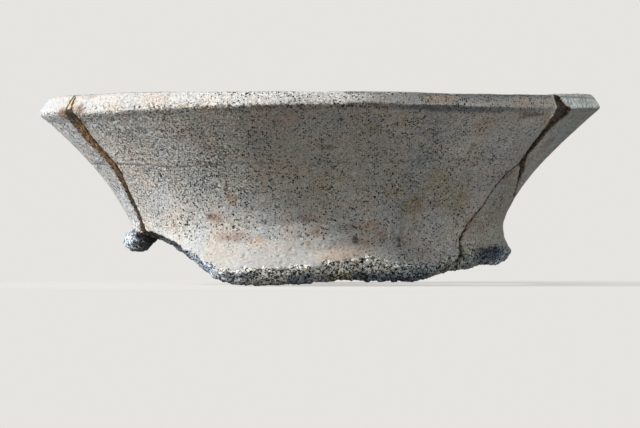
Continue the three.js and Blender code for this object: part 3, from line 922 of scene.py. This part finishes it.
def carve(piece, place, broken, groove):
    """Rounds the lip, lays the turning marks into the skin and roughens the breaks."""
    angle = place["angle"]
    z = place["z"]
    gap = np.minimum(place["sherd_gap"], place["glue_gap"])
    arris = np.minimum(place["to_break"], gap)
    plain = smoothstep(0.6, 1.6, arris) * (1 - broken)
    knob = smoothstep(17, 14, z) * stretch(place, "knob")
    corners = smoothstep(2.4, 1.4, place["to_lip"]) * smoothstep(0.5, 1.6, arris)
    for name, weights, passes in (
        ("plain", plain, 14),
        ("corners", corners, 16),
        ("blunt", corners * stretch(place, "blunt lip"), 14),
        ("knob", knob * smoothstep(0.2, 1.2, gap), 30),
    ):
        set_group(piece, name, weights)
        apply_modifier(piece, "SMOOTH", factor=0.5, iterations=passes, vertex_group=name)

    points = vertex_values(piece, "co")
    waves = 0.22 * noise_at(points, 22.0) + 0.10 * noise_at(points, 8.0)
    chips = smoothstep(0.15, 0.5, noise_at(points, 1.7)) * smoothstep(1.2, 0.3, arris) * ~place["break"]
    pits = smoothstep(0.42, 0.62, noise_at(points, 1.15)) * plain
    depth = plain * (waves + turning_ridges(place)) - 0.3 * groove - 0.35 * chips - 0.22 * pits
    skin = plain * place["outside"]
    depth += 0.25 * skin * hump(z, LIP_FOOT - 2.2, 1.1) * stretch(place, "rolled lip")
    depth -= 0.60 * skin * hump(z, 15.5, 3.6) * stretch(place, "left waist")
    depth += 0.5 * knob * window(z, 7.6, 10.4, 13.4, 15.2) * smoothstep(-74, -80, angle)
    depth += 0.35 * knob * noise_at(points, 1.9)
    move_points(piece, points + place["normals"] * (depth * MM)[:, None])

    set_group(piece, "broken", broken ** 2 * (z < 20) * (1 - 0.8 * place["crack"]) * (1 - 0.3 * knob))
    crumbly = (0.4 + stretch(place, "crumbly lip")) * smoothstep(1.4, 0.2, place["to_lip"])
    set_group(piece, "crumbly", crumbly * hump(z, LIP_FOOT - 0.4, 0.9) * smoothstep(0.4, 1.2, arris))
    lumps = texture("break lumps", "CLOUDS", 2.2, noise_depth=3)
    grains = texture("break grains", "VORONOI", 0.65)
    crumbs = texture("lip crumbs", "CLOUDS", 1.3, noise_depth=2)
    for pattern, height, level, group in (
        (lumps, 1.2, 0.5, "broken"),
        (grains, 0.5, 0.4, "broken"),
        (crumbs, 0.7, 0.55, "crumbly"),
    ):
        apply_modifier(piece, "DISPLACE", texture=pattern, strength=height * MM, mid_level=level,
                       vertex_group=group, texture_coords="OBJECT")
    move_points(piece, vertex_values(piece, "co"))

    # A large sherd gives up triangles on its inner face, and keeps its fine grain outside
    triangles = sum(len(polygon.vertices) - 2 for polygon in piece.data.polygons)
    if triangles > MOST_TRIANGLES:
        set_group(piece, "inner", (1 - place["outside"]) * (1 - broken))
        apply_modifier(piece, "DECIMATE", ratio=MOST_TRIANGLES / triangles, vertex_group="inner")


def finish_piece(piece, node, material):
    """Gives a piece its material and lets it stand for its solid."""
    piece.vertex_groups.clear()
    piece.data.materials.clear()
    piece.data.materials.append(material)
    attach(piece, "root")
    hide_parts(node)


def studio_world(pale, strength):
    """A plain room that lights the object softly and shows as the backdrop."""
    world = bpy.data.worlds.new("studio")
    world.use_nodes = True
    tree = world.node_tree
    lit = tree.nodes["Background"]
    lit.inputs["Color"].default_value = pale
    lit.inputs["Strength"].default_value = strength
    shown = add_node(tree, "Background", {"Color": pale, "Strength": 1.0}).outputs[0]
    seen = backdrop_rays(tree)
    both = add_node(tree, "MixShader", {0: seen, 1: lit.outputs[0], 2: shown}).outputs[0]
    tree.links.new(both, tree.nodes["World Output"].inputs["Surface"])
    return world


def add_lamp(name, place, size, power):
    """A soft lamp that looks at the pot; place and size in metres, power in watts."""
    data = bpy.data.lights.new(name, "AREA")
    data.size = size
    data.energy = power
    lamp = bpy.data.objects.new(name, data)
    lamp.location = place
    lamp.rotation_euler = (POT_MIDDLE - Vector(place)).to_track_quat("-Z", "Y").to_euler()
    bpy.context.scene.collection.objects.link(lamp)


class JarSettings(bpy.types.PropertyGroup):
    """Sizes, colours and lamps that a user would change"""

    sherd_voxel: FloatProperty(
        name="Sherd grain", description="Size of the sherds' mesh", default=0.42 * MM, unit="LENGTH")
    seam_voxel: FloatProperty(
        name="Seam grain", description="Size of the glue's mesh", default=0.3 * MM, unit="LENGTH")
    clay: FloatVectorProperty(
        name="Clay", description="Middle tone of the clay's skin", subtype="COLOR", size=3,
        default=hex_colour("#B1B1AE")[:3])
    camera_distance: FloatProperty(
        name="Camera distance", description="From the camera to the pot's axis", default=1.8, unit="LENGTH")
    camera_height: FloatProperty(
        name="Camera height", description="Height of the camera over the floor",
        default=0.0193, unit="LENGTH")
    camera_side: FloatProperty(
        name="Camera side", description="How far right of the pot's axis the camera stands",
        default=0.0011, unit="LENGTH")
    view_width: FloatProperty(
        name="View width", description="Width that the picture takes in at the pot's axis",
        default=0.176, unit="LENGTH")
    backdrop: FloatVectorProperty(
        name="Backdrop", description="Colour of the floor and the backdrop", subtype="COLOR", size=3,
        default=hex_colour("#E6E4E0")[:3])
    key_power: FloatProperty(name="Key", description="Power of the key lamp in watts", default=51.0)
    fill_power: FloatProperty(name="Fill", description="Power of the fill lamp in watts", default=8.0)
    top_power: FloatProperty(name="Top", description="Power of the lamp overhead in watts", default=2.8)
    floor_size: FloatProperty(
        name="Floor size", description="Length of the floor's sides", default=12.0, unit="LENGTH")
    floor_lift: FloatProperty(
        name="Floor lift", description="Share of the backdrop's tone that the near floor also has",
        default=0.58)
    world_strength: FloatProperty(
        name="Room light", description="How brightly the room lights the object", default=0.14)


class JAR_OT_sherds(bpy.types.Operator):
    """Makes the sherds, with their skin and rough breaks"""

    bl_idname = "jar.sherds"
    bl_label = "Sherds"

    def execute(self, context):
        settings = context.scene.jar
        clay = sandy_earthenware(settings.clay)
        for node, tint in SHERD_TINTS.items():
            piece = fine_copy(node, node + "_skin", settings.sherd_voxel)
            place = survey(piece, node)
            broken = spread_of_breaks(place)
            groove = groove_depth(place)
            paint(piece, place, broken, groove, tint)
            carve(piece, place, broken, groove)
            finish_piece(piece, node, clay)
        return {"FINISHED"}


class JAR_OT_seams(bpy.types.Operator):
    """Makes the glue between the sherds"""

    bl_idname = "jar.seams"
    bl_label = "Glue seams"

    def execute(self, context):
        brown = aged_glue("aged_brown_glue", "#1A1008", "#573D22", "#8A683E")
        dark = aged_glue("dark_old_glue", "#0C0805", "#251B12", "#54452F")
        for node in SEAM_DEPTHS:
            piece = fine_copy(node, node + "_run", context.scene.jar.seam_voxel)
            flow(piece, node)
            finish_piece(piece, node, dark if node == "right_adhesive" else brown)
        return {"FINISHED"}


class JAR_OT_stage(bpy.types.Operator):
    """Sets the floor, the lamps and the camera"""

    bl_idname = "jar.stage"
    bl_label = "Stage"

    def execute(self, context):
        settings = context.scene.jar
        pale = (*settings.backdrop, 1.0)
        bpy.ops.mesh.primitive_plane_add(size=settings.floor_size, location=(0, 0, 0))
        floor = context.object
        floor.name = "floor"
        floor.data.materials.append(matt_paper(pale, settings.floor_lift))
        context.scene.world = studio_world(pale, settings.world_strength)
        add_lamp("key", (-1.43, -0.25, 0.67), 0.45, settings.key_power)
        add_lamp("fill", (1.40, -0.75, 0.30), 0.8, settings.fill_power)
        add_lamp("top", (0.7, -0.3, 1.3), 0.8, settings.top_power)
        data = bpy.data.cameras.new("camera")
        data.sensor_width = 36.0
        data.lens = data.sensor_width * settings.camera_distance / settings.view_width
        data.clip_end = 50.0
        camera = bpy.data.objects.new("camera", data)
        camera.location = (settings.camera_side, -settings.camera_distance, settings.camera_height)
        camera.rotation_euler = (math.radians(90), 0, 0)
        context.scene.collection.objects.link(camera)
        context.scene.camera = camera
        context.scene.view_settings.view_transform = "Standard"
        return {"FINISHED"}


class JAR_PT_panel(bpy.types.Panel):
    """Lists the steps that make the jar neck"""

    bl_label = "Mended jar neck"
    bl_space_type = "VIEW_3D"
    bl_region_type = "UI"
    bl_category = "Jar"

    def draw(self, context):
        for operator in (JAR_OT_sherds, JAR_OT_seams, JAR_OT_stage):
            self.layout.operator(operator.bl_idname)


CLASSES = (JarSettings, JAR_OT_sherds, JAR_OT_seams, JAR_OT_stage, JAR_PT_panel)


def register():
    for cls in CLASSES:
        bpy.utils.register_class(cls)
    bpy.types.Scene.jar = PointerProperty(type=JarSettings)


def unregister():
    del bpy.types.Scene.jar
    for cls in reversed(CLASSES):
        bpy.utils.unregister_class(cls)


def main():
    """Makes the jar neck and its stage."""
    register()
    bpy.ops.jar.sherds()
    bpy.ops.jar.seams()
    bpy.ops.jar.stage()


if __name__ == "__main__":
    main()
